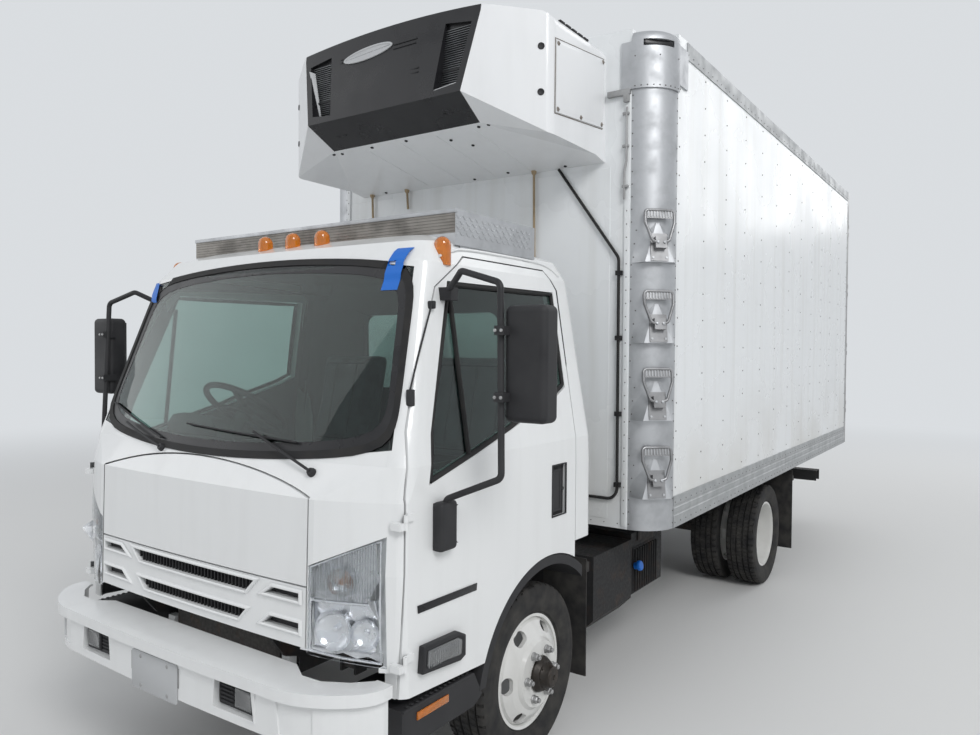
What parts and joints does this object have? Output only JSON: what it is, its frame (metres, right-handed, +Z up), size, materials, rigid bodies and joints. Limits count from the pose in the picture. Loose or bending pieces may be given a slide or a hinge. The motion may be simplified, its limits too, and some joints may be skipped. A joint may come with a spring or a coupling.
{
  "type": "refrigerated box truck",
  "caption": "Two-axle cab-over truck with an insulated box body, a nose-mounted cooling unit, twin rear wheels, opening doors and a tilting cab.",
  "frame": {"origin": "on the ground, at the middle of the truck's length and width", "axes": "+X to the truck's left, +Y to its rear, +Z up"},
  "size_m": [2.86, 7.3028, 3.57],
  "materials": {
    "chassis_paint": "satin, dusty",
    "cast_parts": "rough, oily",
    "spring_steel": "satin, dusty",
    "cab_paint": "gloss, aged",
    "flap_rubber": "matt",
    "red_lens": "gloss",
    "bare_aluminium": "weathered satin",
    "box_skin": "gloss, faintly rippled",
    "step_steel": "galvanised",
    "unit_white": "gloss",
    "unit_black": "satin",
    "tinted_glass": "clear, tinted",
    "black_plastic": "satin",
    "clear_lens": "clear gloss",
    "amber_lens": "gloss",
    "seat_cloth": "woven",
    "wheel_paint": "gloss, dusty",
    "tyre_rubber": "matt"
  },
  "bodies": {
    "chassis": {"frame_rails": "chassis_paint", "cross_members": "chassis_paint", "front_axle": "cast_parts", "rear_axle": "cast_parts", "leaf_springs": "spring_steel", "engine": "cast_parts", "propshaft": "spring_steel", "side_tanks": "chassis_paint", "bumper": "cab_paint", "mud_flaps": "flap_rubber", "rear_step": "chassis_paint", "tail_lamps": "red_lens", "cargo_floor": "bare_aluminium", "cargo_sides": "box_skin", "cargo_front": "box_skin", "cargo_roof": "box_skin", "side_rails": "bare_aluminium", "corner_columns": "bare_aluminium", "corner_caps": "bare_aluminium", "fold_steps": "step_steel", "rear_frame": "step_steel", "unit_shell": "unit_white", "unit_face": "unit_black", "unit_hose": "flap_rubber", "evaporator": "unit_white"},
    "cab": {"cab_shell": "cab_paint", "cab_glass": "tinted_glass", "cab_floor": "chassis_paint", "cab_fenders": "black_plastic", "grille": "cab_paint", "headlamps": "clear_lens", "roof_tray": "bare_aluminium", "marker_lamps": "amber_lens", "dash": "black_plastic", "seats": "seat_cloth"},
    "front_lid": {"lid": "cab_paint"},
    "steering_wheel": {"steering_wheel": "black_plastic"},
    "door_left": {"door_left": "cab_paint", "door_glass_left": "tinted_glass", "mirror_left": "black_plastic"},
    "cargo_door_left": {"cargo_door_left": "box_skin", "lock_rods_left": "step_steel"},
    "knuckle_left": {"knuckle_left": "cast_parts"},
    "wheel_front_left": {"tyre_front_left": "tyre_rubber", "rim_front_left": "wheel_paint"},
    "wheel_rear_left": {"tyres_rear_left": "tyre_rubber", "rims_rear_left": "wheel_paint"},
    "door_right": {"door_right": "cab_paint", "door_glass_right": "tinted_glass", "mirror_right": "black_plastic"},
    "cargo_door_right": {"cargo_door_right": "box_skin", "lock_rods_right": "step_steel"},
    "knuckle_right": {"knuckle_right": "cast_parts"},
    "wheel_front_right": {"tyre_front_right": "tyre_rubber", "rim_front_right": "wheel_paint"},
    "wheel_rear_right": {"tyres_rear_right": "tyre_rubber", "rims_rear_right": "wheel_paint"}
  },
  "joints": [
    {"name": "steer_left", "type": "hinge", "parent": "chassis", "child": "knuckle_left", "pos_m": [0.69, -2.3565, 0.396], "axis": [0, 0, 1], "range_deg": [-35, 35]},
    {"name": "roll_front_left", "type": "hinge", "parent": "knuckle_left", "child": "wheel_front_left", "pos_m": [0.825, -2.3565, 0.396], "axis": [1, 0, 0], "continuous": true},
    {"name": "roll_rear_left", "type": "hinge", "parent": "chassis", "child": "wheel_rear_left", "pos_m": [0.833, 1.0095, 0.396], "axis": [1, 0, 0], "continuous": true},
    {"name": "open_door_left", "type": "hinge", "parent": "cab", "child": "door_left", "pos_m": [1.02, -3.3445, 1.2], "axis": [0, 0, -1], "range_deg": [0, 75]},
    {"name": "open_cargo_door_left", "type": "hinge", "parent": "chassis", "child": "cargo_door_left", "pos_m": [1.203, 3.5355, 2.2], "axis": [0, 0, -1], "range_deg": [0, 250]},
    {"name": "steer_right", "type": "hinge", "parent": "chassis", "child": "knuckle_right", "pos_m": [-0.69, -2.3565, 0.396], "axis": [0, 0, 1], "range_deg": [-35, 35]},
    {"name": "roll_front_right", "type": "hinge", "parent": "knuckle_right", "child": "wheel_front_right", "pos_m": [-0.825, -2.3565, 0.396], "axis": [1, 0, 0], "continuous": true},
    {"name": "roll_rear_right", "type": "hinge", "parent": "chassis", "child": "wheel_rear_right", "pos_m": [-0.833, 1.0095, 0.396], "axis": [1, 0, 0], "continuous": true},
    {"name": "open_door_right", "type": "hinge", "parent": "cab", "child": "door_right", "pos_m": [-1.02, -3.3445, 1.2], "axis": [0, 0, 1], "range_deg": [0, 75]},
    {"name": "open_cargo_door_right", "type": "hinge", "parent": "chassis", "child": "cargo_door_right", "pos_m": [-1.203, 3.5355, 2.2], "axis": [0, 0, 1], "range_deg": [0, 250]},
    {"name": "tilt_cab", "type": "hinge", "parent": "chassis", "child": "cab", "pos_m": [0, -3.3965, 0.79], "axis": [1, 0, 0], "range_deg": [0, 45]},
    {"name": "open_front_lid", "type": "hinge", "parent": "cab", "child": "front_lid", "pos_m": [0, -3.445, 1.4275], "axis": [-1, 0, 0], "range_deg": [0, 60]},
    {"name": "turn_steering_wheel", "type": "hinge", "parent": "cab", "child": "steering_wheel", "pos_m": [-0.41, -2.8965, 1.56], "axis": [0, 0.6, 0.8], "range_deg": [-560, 560]}
  ],
  "couplings": [
    {"joint": "steer_right", "follows": "steer_left", "ratio": 1},
    {"joint": "turn_steering_wheel", "follows": "steer_left", "ratio": 16}
  ]
}
